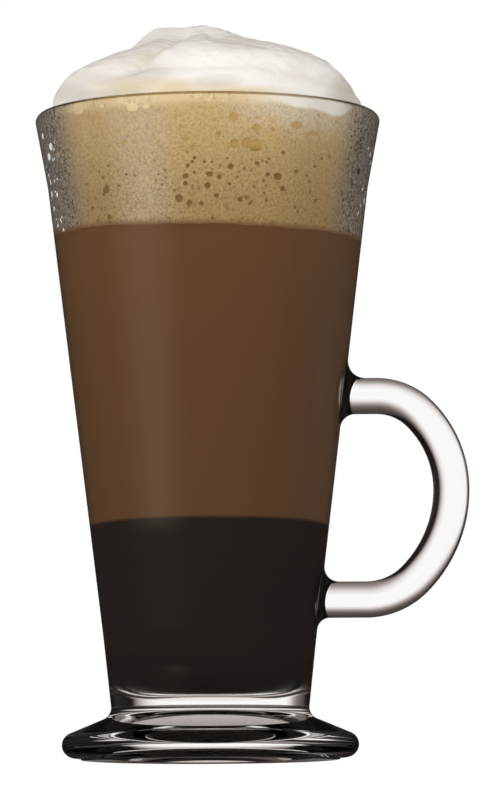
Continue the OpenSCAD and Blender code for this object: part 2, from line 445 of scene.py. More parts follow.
def make_handle(sides=72, bend_steps=20, flare_steps=14):
    """The round bar follows two bends and two sweeps, and flares out onto the bowl at both ends."""
    widest = LOWER_ARM + WIDEST_SHARE * (UPPER_ARM - LOWER_ARM)
    upper_sweep = (UPPER_ARM - widest - UPPER_BEND * (1 - math.cos(EIGHTH))) / math.sin(EIGHTH)
    lower_sweep = (widest - LOWER_ARM - LOWER_BEND * (1 - math.cos(EIGHTH))) / math.sin(EIGHTH)
    upper_end = outer_radius(UPPER_ARM) + UPPER_FLARE * (1 + FLARE_LEAN) + UPPER_ARM_LENGTH
    reach = upper_end + UPPER_BEND * math.sin(EIGHTH) + upper_sweep * (1 - math.cos(EIGHTH))
    lower_end = reach - lower_sweep * (1 - math.cos(EIGHTH)) - LOWER_BEND * math.sin(EIGHTH)
    around = [2 * math.pi * i / sides for i in range(sides)]

    def flare_rings(height, side, flare):
        rings = []
        for i in range(flare_steps + 1):
            turn = (FLARE_END + (1 - FLARE_END) * i / flare_steps) * math.pi / 2
            ring = []
            for a in around:
                slim = 1 - FLARE_SLIM * math.sin(a) ** 2
                here = flare * (1 + FLARE_LEAN * side * math.cos(a)) * slim
                spread = BAR_RADIUS + here * (1 - math.sin(turn))
                y, z = spread * math.sin(a), height + side * spread * math.cos(a)
                out = here * (1 - math.cos(turn)) if i else 0
                ring.append((bowl_face(y, z) + out, y, z))
            rings.append(ring)
        return rings

    def bend_rings(centre, radius, start, end, first=1):
        rings, (x, z) = [], centre
        for i in range(first, bend_steps + 1):
            turn = start + (end - start) * i / bend_steps
            ring = []
            for a in around:
                r, y = radius + BAR_RADIUS * math.cos(a), BAR_RADIUS * math.sin(a)
                ring.append((x + r * math.cos(turn), y, z + r * math.sin(turn)))
            rings.append(ring)
        return rings

    quarter = math.pi / 2
    rings = [
        *flare_rings(UPPER_ARM, 1, UPPER_FLARE),
        *bend_rings((upper_end, UPPER_ARM - UPPER_BEND), UPPER_BEND, quarter, EIGHTH, first=0),
        *bend_rings((reach - upper_sweep, widest), upper_sweep, EIGHTH, 0),
        *bend_rings((reach - lower_sweep, widest), lower_sweep, 0, -EIGHTH),
        *bend_rings((lower_end, LOWER_ARM + LOWER_BEND), LOWER_BEND, -EIGHTH, -quarter),
        *flare_rings(LOWER_ARM, -1, LOWER_FLARE)[::-1],
    ]
    verts = [p for ring in rings for p in ring]
    last = len(rings) - 1
    faces = [
        (k * sides + i, (k + 1) * sides + i, (k + 1) * sides + j, k * sides + j)
        for k in range(last) for i, j in neighbours(sides)
    ]
    bar_faces = len(faces)
    # Each end is closed by a cap that lies on the bowl's surface
    for k, height, order in ((0, UPPER_ARM, -1), (last, LOWER_ARM, 1)):
        previous = list(range(k * sides, (k + 1) * sides))
        for c in range(1, CAP_RINGS):
            shrink = 1 - c / CAP_RINGS
            current = list(range(len(verts), len(verts) + sides))
            for _, y, z in rings[k]:
                y, z = y * shrink, height + (z - height) * shrink
                verts.append((bowl_face(y, z), y, z))
            for i, j in neighbours(sides):
                faces.append((previous[j], previous[i], current[i], current[j])[::order])
            previous = current
        for i, j in neighbours(sides):
            faces.append((previous[j], previous[i], len(verts))[::order])
        verts.append((bowl_face(0, height), 0, height))
    slots = [0] * bar_faces + [1] * (len(faces) - bar_faces)
    materials = [HANDLE_GLASS, seam_shade_material()]
    handle = new_object("mug_handle", verts, faces, materials, slots, sharp=50)
    add_piece(handle, "handle")


WET_IOR = 0.955
# The drink wets the glass, so its meshes reach a hair into it and no air film shows
WETTING = 0.04
COFFEE_GLOSS = (0.9, 0.88, 0.85)
# Where the painted shade on the coffee's two sides begins and is full, in metres along X
RIGHT_SHADE_SPAN, LEFT_SHADE_SPAN = (0.012, 0.027), (-0.02, -0.034)
WHITE = (1.0, 1.0, 1.0)


def coffee_material(name, stops, low, high, cloud, foot=None, right=WHITE, left=WHITE):
    """An opaque coffee whose colour changes with height, with clouds, and with painted shade
    towards its sides.
    """
    n = new_material(name)
    place = position(n)
    x, _, z = n.axes(place)
    span = {"Value": z, "From Min": low * MM, "From Max": high * MM}
    height = n.add("MapRange", span)["Result"]
    clouds = noise(n, squeezed(n, place, (1.0, 1.0, 2.2)), 40.0, 3.0)
    colour = n.ramp(n.plus(height, n.times(n.minus(clouds, 0.5), cloud)), stops)
    if foot:
        colour = n.mix(n.step(z, (low - 0.1) * MM, (low + 0.9) * MM), foot, colour)
    # Painted shade: darker and cooler towards the right and the left
    colour = n.mix(n.step(x, *RIGHT_SHADE_SPAN), colour, right, "MULTIPLY")
    colour = n.mix(n.step(x, *LEFT_SHADE_SPAN), colour, left, "MULTIPLY")
    # Seen from inside the glass a liquid mirrors only at a grazing angle
    mirror = n.add("Fresnel", {"IOR": WET_IOR})[0]
    gloss = n.add("BsdfAnisotropic", {"Color": COFFEE_GLOSS, "Roughness": 0.06})
    return n.finish(n.shader_mix(mirror, matt(n, colour), gloss[0]))


def make_black_coffee():
    material = coffee_material(
        "black_coffee", [(0.0, (0.017, 0.0135, 0.0115)), (1.0, (0.019, 0.0145, 0.0125))],
        CAVITY_FLOOR, BLACK_TOP, 0.5,
    )
    outline = [
        (0, CAVITY_FLOOR - WETTING),
        *corner_arc(-WETTING),
        *wall_points(CAVITY_FLOOR + CORNER_RADIUS, BLACK_TOP, -WETTING)[1:],
        (0, BLACK_TOP),
    ]
    add_piece(revolve("coffee_black", outline, [material]), "black_coffee")


# How far the froth's lower line drops at the front and at the handle's side
FRONT_DROP, SIDE_DROP = 0.9, 0.8


def froth_line(turn):
    """Height where froth and milky coffee meet; the turn is 0 at the front, towards -Y."""
    ripple = 0.12 * math.sin(7 * turn + 1.0) + 0.08 * math.sin(17 * turn)
    ripple += 0.05 * math.sin(41 * turn)
    return MILKY_TOP - FRONT_DROP * math.cos(turn) - SIDE_DROP * math.sin(turn) + ripple


def make_milky_coffee():
    material = coffee_material(
        "milky_coffee",
        [(0.0, (0.102, 0.051, 0.0228)), (0.5, (0.108, 0.0525, 0.0235)),
         (0.97, (0.124, 0.059, 0.0238)), (1.0, (0.116, 0.055, 0.0222))],
        BLACK_TOP, MILKY_TOP, 0.25,
        # Painted shade towards the coffee's right and left sides
        foot=(0.03, 0.019, 0.013), right=(0.86, 1.0, 1.33), left=(0.9, 0.98, 1.06),
    )
    outline = [(0, BLACK_TOP), *wall_points(BLACK_TOP, MILKY_TOP, -WETTING), (0, MILKY_TOP)]
    coffee = revolve("coffee_milky", outline, [material], sides=360)
    # The top ring follows the line of the froth
    for vertex in coffee.data.vertices:
        if vertex.co.z > (MILKY_TOP - 0.01) * MM and vertex.co.xy.length > MM:
            height = froth_line(math.atan2(vertex.co.x, -vertex.co.y))
            level = cavity_radius(MILKY_TOP) + WETTING
            vertex.co.xy *= (cavity_radius(height) + WETTING) / level
            vertex.co.z = height * MM
    add_piece(coffee, "milky_coffee")


# Bubbles against the glass, by kind: degrees round from the front, height, half width and height.
# The kinds are deep, medium and faint pockets, golden ones higher up, and pale beads at the rim.
BUBBLES = {
    "D": [
        (-41.3, 129.3, 1.04, 0.81), (-4.5, 135.3, 0.42, 0.42), (-5.4, 134.5, 0.4, 0.4),
        (-7.1, 133.6, 0.44, 0.47), (-18.3, 131.9, 0.3, 0.29), (-8.1, 129.7, 0.58, 0.5),
        (0.3, 129.2, 0.73, 0.65), (-10.7, 126.6, 0.92, 0.83), (-6.8, 125.6, 0.71, 0.61),
        (-2.1, 125.5, 0.48, 0.45), (3.6, 127, 0.55, 0.5), (12.7, 126.4, 0.61, 0.5),
    ],
    "F": [
        (-49.5, 125.7, 0.79, 0.54), (-35.2, 130, 0.53, 0.45), (-42.5, 132.2, 0.59, 0.45),
        (-7.2, 136.6, 0.44, 0.45), (2, 134.4, 0.44, 0.45), (-15.7, 132.8, 0.46, 0.45),
        (-15.6, 131.1, 0.46, 0.45), (-4.7, 132.1, 0.53, 0.54), (-17.1, 129.6, 0.46, 0.45),
        (-5.6, 128.9, 0.44, 0.45), (-3.1, 128.6, 0.49, 0.41), (-6.7, 127.6, 0.4, 0.36),
        (-28, 132, 0.45, 0.41), (-27.9, 126, 0.37, 0.34), (-19.5, 130.6, 0.42, 0.41),
        (-18.3, 128.7, 0.35, 0.34), (-11.6, 137.5, 0.36, 0.36), (-39.5, 134.7, 0.51, 0.4),
        (-44, 133.6, 0.48, 0.39), (7.5, 135.2, 0.44, 0.45), (5, 133.5, 0.44, 0.47),
        (14, 133, 0.5, 0.47), (18.9, 134.3, 0.7, 0.56), (20.9, 134.9, 0.47, 0.4),
        (23.3, 135.4, 0.48, 0.45), (29, 137, 0.65, 0.58), (16.6, 135.1, 0.39, 0.38),
        (43.7, 134.6, 0.59, 0.45), (35.2, 133, 0.74, 0.61), (21.7, 130.5, 0.52, 0.5),
        (11.6, 131.1, 0.45, 0.45), (18.2, 129.1, 0.51, 0.45), (13.6, 129.4, 0.41, 0.41),
        (41.8, 131.1, 0.58, 0.45),
    ],
    "M": [
        (-40.9, 123.3, 0.74, 0.59), (-7.9, 131.3, 0.71, 0.63), (1, 131.7, 0.84, 0.63),
        (4.6, 131.1, 0.57, 0.59), (27.4, 131.6, 1.13, 0.92), (23.4, 131.9, 0.6, 0.52),
        (29.8, 129.1, 0.75, 0.61), (8.9, 133.4, 0.73, 0.65), (8.6, 129.6, 0.42, 0.43),
        (23.2, 126.6, 0.43, 0.36), (17.1, 126.1, 0.39, 0.34), (35.7, 125.6, 0.45, 0.38),
    ],
    "G": [
        (-30.9, 139.6, 0.84, 0.74), (-9.1, 142.4, 0.67, 0.63), (-7.8, 139.5, 0.78, 0.72),
    ],
    "g": [
        (-26.9, 139.4, 0.79, 0.67), (-24, 139.8, 0.43, 0.4), (-32.9, 142.2, 0.78, 0.67),
        (-37, 142.4, 0.55, 0.45), (-42.7, 141.6, 0.59, 0.45), (-5.2, 137.5, 0.53, 0.54),
    ],
    "B": [
        (4.2, 140.5, 0.66, 0.67), (10.1, 138.5, 0.98, 1.03), (14.7, 138.7, 1.3, 1.25),
        (18, 138.2, 1.75, 1.4),
    ],
    "P": [
        (-26.5, 147.2, 1.47, 1.03), (-21.3, 147.1, 0.83, 0.49), (-38.7, 148.1, 0.64, 0.51),
        (-50, 148, 1.66, 1.11), (-54.7, 148.1, 0.73, 0.44), (-46.4, 148.3, 0.5, 0.36),
        (-30.9, 148.7, 0.89, 0.45),
    ],
    "O": [
        (9.7, 144.5, 1.12, 1.23), (17.8, 142.1, 1.04, 1.01),
    ],
    "o": [
        (33.4, 143.4, 1.95, 1.01), (41.4, 141.9, 1.57, 0.78),
    ],
}
POCKET_DEPTH = {
    "D": 0.34, "M": 0.26, "F": 0.14, "G": 0.15, "g": 0.1, "B": 0.3, "O": 0.2, "o": 0.13, "P": -0.16,
}
FROTH_TOP = 149.3
FINE_BUBBLES = 260
RIM_BEADS = 110
SIDE_BUBBLES = 90
# Degrees from the front within which the large bubbles are the listed ones
LISTED_TURN = 58


def more_bubbles(rng):
    """Small bubbles all round, thicker towards the coffee, and large ones on the other sides."""
    found = []
    for _ in range(FINE_BUBBLES):
        height = MILKY_TOP + 0.8 + 20.0 * rng.random() ** 1.5
        size = rng.uniform(0.28, 0.42) + 0.2 * rng.random() ** 3
        found.append((rng.uniform(-180, 180), height, size, size * 0.92, rng.choice("MFFFF")))
    while len(found) < FINE_BUBBLES + SIDE_BUBBLES:
        degrees, height = rng.uniform(-180, 180), rng.uniform(122.5, 146)
        size = rng.uniform(0.4, 1.1)
        if abs(degrees) > LISTED_TURN:
            kinds = "GgO" if height > 137 else "DMFFF"
            found.append((degrees, height, size, size * 0.85, rng.choice(kinds)))
    for _ in range(RIM_BEADS):
        size = rng.uniform(0.22, 0.48)
        found.append((rng.uniform(-180, 15), rng.uniform(147.9, 149.1), size, size * 0.85, "P"))
    return found


def froth_relief(turns, heights):
    """Depth of the pockets, and height of the beads, over a grid of turns and heights."""
    relief = np.zeros((len(heights), len(turns)))
    radius = cavity_radius(135)
    listed = [(*spot, kind) for kind, spots in BUBBLES.items() for spot in spots]
    for degrees, height, wide, tall, kind in listed + more_bubbles(random.Random(11)):
        rows = np.where(abs(heights - height) < tall * 1.1)[0]
        away = (turns - math.radians(degrees) + math.pi) % (2 * math.pi) - math.pi
        columns = np.where(abs(away) * radius < wide * 1.1)[0]
        if not len(rows) or not len(columns):
            continue
        across = (away[columns] * radius / wide)[None, :]
        along = ((heights[rows] - height) / tall)[:, None]
        dish = np.clip(1 - (across**2 + along**2) ** 2, 0, 1)
        block = np.ix_(rows, columns)
        depth = POCKET_DEPTH[kind] * min(1.0, 1.6 * wide)
        if depth > 0:
            relief[block] = np.minimum(relief[block], -depth * dish)
        else:
            relief[block] = np.maximum(relief[block], -depth * np.sqrt(dish))
    return relief


# Colours of the froth, its bubbles and the cream under the rim, and of painted highlight, shade and
# reflection
FROTH_LOW = (0.375, 0.258, 0.108)
FROTH_HIGH = (0.57, 0.415, 0.2)
FROTH_HIGHLIGHT = (0.48, 0.4, 0.28)
FROTH_WARM = (0.62, 0.4, 0.14)
FROTH_DOT = (0.2, 0.13, 0.055)
FROTH_SHADE = (0.12, 0.09, 0.06)
FROTH_EDGE = (0.15, 0.078, 0.033)
FROTH_BEAD = (0.8, 0.66, 0.4)
POCKET_LOW = (0.21, 0.128, 0.038)
POCKET_HIGH = (0.46, 0.28, 0.085)
CREAM_UNDER_LEFT = (0.8, 0.64, 0.38)
CREAM_UNDER_RIGHT = (0.95, 0.9, 0.82)
CREAM_HOLE = (0.5, 0.36, 0.17)
SIDE_REFLECTION_DARK = (0.1, 0.083, 0.068)
SIDE_REFLECTION_LIGHT = (0.25, 0.215, 0.18)
SIDE_GLINT = (0.75, 0.72, 0.69)
SIDE_SPECK = (0.03, 0.022, 0.018)
# Cells and grain, in counts for each metre
FINE_CELLS, SMALL_CELLS, HOLE_CELLS = 1600.0, 2100.0, 760.0
GLINT_CELLS, SPECK_CELLS = 2100.0, 1000.0
REFLECTION_GRAIN, EDGE_GRAIN = 1500.0, 1300.0
# Cells of the middling bubbles, and the share of them that stays empty
SPOT_CELLS = ((520.0, 0.72), (760.0, 0.7))
# The cream line's height under the rim, as a share of its reach, over the turn
CREAM_LINE = [
    (0, 0.62), (0.5, 0.62), (0.575, 0.6), (0.59, 0.42), (0.61, 0.46), (0.635, 0.26),
    (0.65, 0.34), (0.664, 0.7), (0.68, 1),
]
CREAM_LINE_LOW, CREAM_LINE_REACH = 0.145, 0.0052
# How far the wall turns from the view where the painted reflection, its specks and its painted
# glints show
REFLECTION_SIDE = (0.145, 0.262)
SPECK_SIDE = ((0.195, 0.22), (0.272, 0.255))
GLINT_SIDE = (0.285, 0.31)


def froth_material():
    n = new_material("froth")
    place = position(n)
    x, y, z = n.axes(place)
    radius = n.math("SQRT", n.plus(n.times(x, x), n.times(y, y)))
    turn = n.math("ARCTAN2", x, n.times(y, -1.0))
    # How far the surface lies below the wall, which is two cones
    slope_low = (SHOULDER_RADIUS - WAIST_RADIUS) / (SHOULDER_HEIGHT - WAIST_HEIGHT)
    slope_high = (LIP_END[0] - SHOULDER_RADIUS + WALL) / (LIP_END[1] - SHOULDER_HEIGHT)
    rise = n.minus(z, SHOULDER_HEIGHT * MM)
    wall = n.math("MAXIMUM", n.times(rise, slope_low), n.times(rise, slope_high))
    depth = n.minus(n.plus(wall, (SHOULDER_RADIUS - WALL + WETTING) * MM), radius)
    # Body colour: golden towards the rim, greyer towards the coffee, with a painted highlight in
    # pale clouds at the left
    golden = n.step(z, 0.121, 0.149)
    body = n.mix(golden, FROTH_LOW, FROTH_HIGH)
    clouds = noise(n, place, 90.0, 3.0)
    left = between(n, turn, (-0.75, -0.45), (-0.12, -0.4))
    body = n.mix(n.times(left, n.plus(clouds, 0.2), 0.75), body, FROTH_HIGHLIGHT)
    upper_right = n.times(n.step(z, 0.139, 0.147), n.step(turn, 0.0, 0.5))
    body = n.mix(n.times(upper_right, 0.36), body, CREAM_UNDER_RIGHT)
    warm = n.step(noise(n, place, 160.0), 0.5, 0.7)
    body = n.mix(n.times(warm, golden, 0.35), body, FROTH_WARM)
    # Fine bubbles: dark dots with pale walls between them
    fine = cells(n, place, FINE_CELLS)["Distance"]
    small = cells(n, place, SMALL_CELLS)["Distance"]
    dots = n.times(n.step(fine, 0.75, 0.2), 0.42)
    dots = n.plus(dots, n.times(n.step(small, 0.7, 0.15), 0.3))
    low = n.line(golden, -0.5, 1.0)
    body = n.mix(n.times(dots, low), body, FROTH_DOT)
    # Middling bubbles, thicker towards the coffee
    for scale, empty in SPOT_CELLS:
        spots = scattered(n, place, scale, 0.3, 0.2, empty)
        body = n.mix(n.times(spots, 0.4, low), body, POCKET_LOW)
    # Cream showing through under the rim, lower down at the right
    line = n.ramp(n.line(turn, 0.5 / math.pi, 0.5), CREAM_LINE)
    edge = n.line(line, CREAM_LINE_REACH, CREAM_LINE_LOW)
    edge = n.plus(edge, n.times(n.minus(clouds, 0.5), 0.0012))
    # At the right it is plain with a clear edge; at the left it is yellower and fades out
    right = n.step(turn, 0.15, 0.6)
    fade = n.line(right, -0.0016, 0.0021)
    cream = n.step(n.minus(z, edge), n.times(fade, -1.0), fade)
    holes = n.step(cells(n, place, HOLE_CELLS)["Distance"], 0.34, 0.2)
    holes = n.times(holes, n.line(right, -0.55, 0.6))
    under = n.mix(holes, n.mix(right, CREAM_UNDER_LEFT, CREAM_UNDER_RIGHT), CREAM_HOLE)
    body = n.mix(cream, body, under)
    # Pockets show the darker froth behind; they are golden higher up
    high = n.step(z, 0.1365, 0.1385)
    deep = n.step(depth, 0.00001, 0.00014)
    pocket = n.mix(high, POCKET_LOW, POCKET_HIGH)
    body = n.mix(n.times(deep, n.line(high, -0.3, 1.0)), body, pocket)
    bead = n.step(depth, -0.00001, -0.00012)
    body = n.mix(n.times(bead, 0.6), body, FROTH_BEAD)
    # Where the wall turns from the view: painted shade, and a painted grey reflection with glints
    # and specks
    normal = n.add("CombineXYZ", {0: x, 1: y, 2: n.times(radius, -slope_low)})
    unit = n.add("VectorMath", {0: normal[0]}, operation="NORMALIZE")
    facing = n.add("LayerWeight", {"Blend": 0.5, "Normal": unit[0]})
    side = facing["Facing"]
    # In a pocket the view has left the glass, so its angle is brought back to that in the glass
    slant = n.minus(1.0, side)
    slant = n.minus(1.0, n.times(slant, slant))
    slant = n.minus(1.0, n.times(slant, 1 / GLASS_IOR**2))
    bent = n.minus(1.0, n.math("SQRT", slant))
    in_air = n.above(depth, WETTING * MM)
    side = n.plus(n.times(bent, in_air), n.times(side, n.minus(1.0, in_air)))
    body = n.mix(n.times(n.step(side, 0.03, 0.14), 0.25), body, FROTH_SHADE)
    # Painted reflection, grey and grainy, with painted glints at the far sides
    grain = noise(n, place, REFLECTION_GRAIN, 3.0)
    side_reflection = n.mix(n.step(grain, 0.35, 0.65), SIDE_REFLECTION_DARK, SIDE_REFLECTION_LIGHT)
    glints = scattered(n, squeezed(n, place, (1.0, 1.0, 0.35)), GLINT_CELLS, 0.3, 0.12, 0.62)
    side_reflection = n.mix(n.times(glints, n.step(side, *GLINT_SIDE), 0.8), side_reflection, SIDE_GLINT)
    reflected = n.times(n.step(side, *REFLECTION_SIDE), n.line(deep, -0.5, 1.0))
    body = n.mix(reflected, body, side_reflection)
    specks = scattered(n, place, SPECK_CELLS, 0.36, 0.24, 0.42)
    zone = between(n, side, *SPECK_SIDE)
    body = n.mix(n.times(specks, zone, 0.85), body, SIDE_SPECK)
    # The froth thins out into the coffee below it
    drop = n.times(n.math("COSINE", turn), FRONT_DROP)
    drop = n.plus(drop, n.times(n.math("SINE", turn), SIDE_DROP))
    above = n.plus(n.minus(z, MILKY_TOP * MM), n.times(drop, MM))
    above = n.plus(above, n.times(n.minus(noise(n, place, EDGE_GRAIN), 0.5), 0.0008))
    body = n.mix(n.step(above, -0.0004, 0.0018), FROTH_EDGE, body)
    return n.finish(matt(n, body, bump(n, n.times(fine, -1.0), 0.5, 0.16)))


# The skin of the froth has finer columns on the photo's side than behind
FRONT_HALF = math.radians(100)
FRONT_COLUMNS, BACK_COLUMNS, SKIN_ROWS = 820, 210, 150
FROTH_INSET, FROTH_ROUND = 2.5, 0.4


def make_foam():
    """The froth fills the glass to the rim; its skin carries the bubbles that lie on the glass."""
    turns = np.concatenate([
        np.linspace(-FRONT_HALF, FRONT_HALF, FRONT_COLUMNS, endpoint=False),
        np.linspace(FRONT_HALF, 2 * math.pi - FRONT_HALF, BACK_COLUMNS, endpoint=False),
    ])
    turns = (turns + math.pi) % (2 * math.pi) - math.pi
    heights = np.linspace(MILKY_TOP + 0.5, FROTH_TOP, SKIN_ROWS)
    relief = froth_relief(turns, heights)
    lines = [froth_line(t) + 0.01 for t in turns]
    verts, faces, count = [], [], len(turns)

    def add_point(radius, turn, height):
        verts.append((radius * math.sin(turn), -radius * math.cos(turn), height))

    for turn, low in zip(turns, lines):
        add_point(cavity_radius(low) + WETTING, turn, low)
    for k, height in enumerate(heights):
        share = k / (SKIN_ROWS - 1)
        for i, turn in enumerate(turns):
            here = height + (lines[i] + 0.15 - heights[0]) * (1 - share) ** 6
            add_point(cavity_radius(here) + WETTING + relief[k, i], turn, here)
    for turn in turns:
        add_point(cavity_radius(FROTH_TOP) - FROTH_INSET, turn, FROTH_TOP + FROTH_ROUND)
    for k in range(SKIN_ROWS + 1):
        a, b = k * count, (k + 1) * count
        faces += [(a + i, a + j, b + j, b + i) for i, j in neighbours(count)]
    last, bottom = (SKIN_ROWS + 1) * count, len(verts)
    verts += [(0, 0, MILKY_TOP + 0.01), (0, 0, FROTH_TOP + FROTH_ROUND)]
    for i, j in neighbours(count):
        faces += [(bottom, j, i), (bottom + 1, last + i, last + j)]
    foam = new_object("foam_body", verts, faces, [froth_material()], sharp=60)
    add_piece(foam, "foam_head")


# The cream's dome stands inside the rim; height, spread, x and y of its swells
DOME_BASE = 152.4
DOME_CAP = 15.6
DOME_SWELLS = [
    (3.54, 5.46, -12.6, -2), (2.94, 7.5, -1.2, -2), (0.25, 8.1, 12, -3),
    (-3.1, 8.5, -23.8, -6), (0.3, 9.2, 29.5, -6), (-3.6, 5.4, -33.5, -4),
    (-0.45, 2.6, -21.5, -4),
]
# Crests and creases of the cream seen from the front: height, width, and points (x, seen height)
FOLDS = [
    (1, 2.4, [(-31.4, 156.8), (-28.4, 158.9), (-23.4, 160.7), (-20.5, 161.6)]),
    (-1.3, 1.5, [
        (-31.9, 153.8), (-27.5, 156.2), (-22.8, 158.5), (-19.3, 159.7), (-15.8, 160.9),
        (-12.3, 161.6), (-7.6, 161.7), (-1.8, 161.4), (6.8, 161.5), (12.2, 161.8), (15.7, 160.9),
        (18.6, 160), (22.4, 159.7), (27.3, 156.8), (29.7, 155),
    ]),
    (1.16, 2.6, [
        (-9, 163.9), (-4.2, 164.9), (0.5, 165.3), (7.5, 164.4), (13.3, 163.5), (18, 162.5),
        (22.7, 161.6), (26.2, 160.2),
    ]),
    (-1.16, 1.2, [(-5.1, 168.9), (-8.6, 166.8), (-12.3, 165), (-15.2, 162.6)]),
    (-0.72, 1.2, [(1, 168.2), (5.4, 167.5), (9.8, 166.9), (13.3, 166)]),
    (0.87, 2.2, [(1.7, 159.7), (7.5, 159.7), (12.6, 159.2), (16.8, 157.8), (21.5, 156.4)]),
    (-0.87, 1.2, [(15.7, 158.5), (18.5, 156.9), (22.9, 155.7)]),
    (0.72, 0.8, [(-17.2, 158.2), (-15.8, 158.9), (-14.2, 159.7)]),
    (0.51, 0.7, [(-24, 155.5), (-19, 157), (-14, 158.2)]),
    (0.51, 0.7, [(-20, 154.6), (-14, 156.2), (-8, 158), (-2, 158.2)]),
    (0.43, 0.7, [(-12, 154.8), (-5, 156.2), (2, 157.2), (8, 156.4)]),
    (0.58, 1.4, [(25.7, 158), (29.7, 155.6)]),
    (-1.5, 2.2, [(-31, 154.6), (-26.5, 157.2), (-21.5, 159), (-17.3, 160.2)]),
    (0.55, 1.6, [(-29, 158), (-26, 159.6), (-21, 161.3)]),
]
SEEN_TILT = 0.151
CROWN_RINGS, CROWN_SIDES, SKIRT_RINGS = 120, 440, 9
CROWN_REACH, CROWN_SHIFT, RIGHT_SPREAD = 35.4, 0.7, 1.1
# Heights where the skirt meets the glass, where that is measured, and of the middle below
SKIRT_END, SKIRT_MEASURE, CROWN_BOTTOM = 149.6, 149.4, 148.9


def fold_height(x, seen):
    """Sum of the crests and creases at places seen from the front."""
    total = np.zeros_like(x)
    for height, width, points in FOLDS:
        nearest = np.full_like(x, 1e9)
        for (ax, ah), (bx, bh) in zip(points, points[1:]):
            dx, dh = bx - ax, bh - ah
            along = np.clip(((x - ax) * dx + (seen - ah) * dh) / (dx * dx + dh * dh), 0, 1)
            nearest = np.minimum(nearest, np.hypot(x - ax - along * dx, seen - ah - along * dh))
        total += height * np.exp(-((nearest / width) ** 2))
    return total


def swirl_height(x, y):
    """Wide swirled swells for the sides that the folds don't cover."""
    turn, away = np.arctan2(y, x), np.hypot(x, y)
    wide = 0.45 * np.sin(2 * turn + away * 0.28) * np.clip(away / 14, 0, 1)
    return wide + 0.2 * np.sin(5 * turn - away * 0.5)


def lump_height(x, y, z):
    """Faint lumps all over the cream."""
    return 0.1 * np.sin(x * 1.1 + 2 * np.sin(z * 0.8)) * np.sin(z * 1.3 + np.sin(x * 0.7) + y * 0.5)


def make_crown():
    sides = CROWN_SIDES
    around = np.linspace(0, 2 * math.pi, sides, endpoint=False)
    share = np.sin(np.linspace(0, math.pi / 2, CROWN_RINGS + 1))[1:][:, None]
    reach = CROWN_REACH - CROWN_SHIFT * np.cos(around)[None, :]
    x, y = reach * share * np.cos(around), reach * share * np.sin(around)
    z = DOME_BASE + DOME_CAP * np.sqrt(np.maximum(1 - share**1.8, 0)) + 0 * x
    for height, spread, cx, cy in DOME_SWELLS:
        bell = np.exp(-((x - cx) ** 2 + (y - cy) ** 2) / spread**2)
        z = z + height * bell * (1 - share**4)
    points = np.stack([x, y, z], axis=-1)
    along = np.gradient(points, axis=0)
    across = (np.roll(points, -1, axis=1) - np.roll(points, 1, axis=1)) / 2
    normal = np.cross(along, across)
    normal /= np.linalg.norm(normal, axis=-1, keepdims=True)
    edge = np.clip((1 - share) / 0.06, 0, 1)
    front = np.clip(-y / 6 + 0.2, 0, 1)
    lift = front * fold_height(x, z - y * SEEN_TILT) + (1 - front) * swirl_height(x, y)
    points = points + normal * ((lift + lump_height(x, y, z)) * edge)[..., None]
    apex = points[0].mean(axis=0)
    # At the right the cream spreads to the rim
    spread = RIGHT_SPREAD * np.clip(np.cos(around), 0, 1) ** 2
    low = np.exp(-(((points[..., 2] - DOME_BASE) / 1.3) ** 2)) * spread
    points[..., :2] *= (1 + low / np.hypot(points[..., 0], points[..., 1]))[..., None]
    reach = reach + spread
    verts, faces = [tuple(apex), *(tuple(p) for ring in points for p in ring)], []
    for i, j in neighbours(sides):
        faces.append((0, 1 + i, 1 + j))
        for k in range(CROWN_RINGS - 1):
            a, b = 1 + k * sides, 1 + (k + 1) * sides
            faces.append((a + i, b + i, b + j, a + j))
    # The skirt spreads from the dome to the glass just inside the rim
    wall = cavity_radius(SKIRT_MEASURE) + 0.1
    for k in range(1, SKIRT_RINGS + 1):
        u = k / SKIRT_RINGS
        fall = (DOME_BASE - SKIRT_END) * (0.6 * u + 0.4 * (1 - (1 - u) ** 2))
        for i, a in enumerate(around):
            wave = 0.15 * math.sin(9 * a + 1) + 0.1 * math.sin(23 * a)
            r = reach[0, i] + (wall - reach[0, i]) * (0.75 * u + 0.25 * u * u)
            height = DOME_BASE - fall + wave * u * (1 - u)
            verts.append((r * math.cos(a), r * math.sin(a), height))
    for k in range(CROWN_RINGS - 1, CROWN_RINGS - 1 + SKIRT_RINGS):
        a, b = 1 + k * sides, 1 + (k + 1) * sides
        faces += [(a + i, b + i, b + j, a + j) for i, j in neighbours(sides)]
    last, bottom = len(verts) - sides, len(verts)
    verts.append((0, 0, CROWN_BOTTOM))
    faces += [(last + i, bottom, last + j) for i, j in neighbours(sides)]
    crown = new_object("crown", verts, faces, [cream_material()], sharp=70)
    add_piece(crown, "cream_crown")


CREAM = (0.9, 0.88, 0.85)
CREAM_COOL = (0.87, 0.85, 0.825)
STAIN = (0.74, 0.6, 0.33)
CREAM_PAINTED_SHADE = (0.58, 0.53, 0.47)
# Stains of the cream, and painted shade in its hollows: x, seen height, half width, half height,
# and strength
STAINS = [
    (-14, 156, 14, 3.2, 0.8), (2, 155.3, 12, 2.6, 0.75), (12, 155, 9, 2, 0.4),
    (-14.6, 163, 3.6, 1.9, 0.3), (-11.8, 165, 2.6, 1.7, 0.2), (20, 158.6, 5, 1.3, 0.12),
]
PAINTED_SHADE_SPOTS = [
    (-26.5, 158.7, 5, 1.6, 0.3), (-17.5, 157.6, 6, 2.2, 0.4), (-12.5, 159.8, 5, 2, 0.35),
    (-31.5, 155.4, 5, 2.6, 0.65), (-22, 154.4, 8, 2.2, 0.6), (34.5, 154.5, 7, 5, 0.9),
    (7, 166.8, 9, 2.2, 0.3), (29, 158.2, 5, 2, 0.2), (-2, 157.2, 9, 1.6, 0.2),
    (2.5, 158.2, 6, 1.5, 0.4),
]


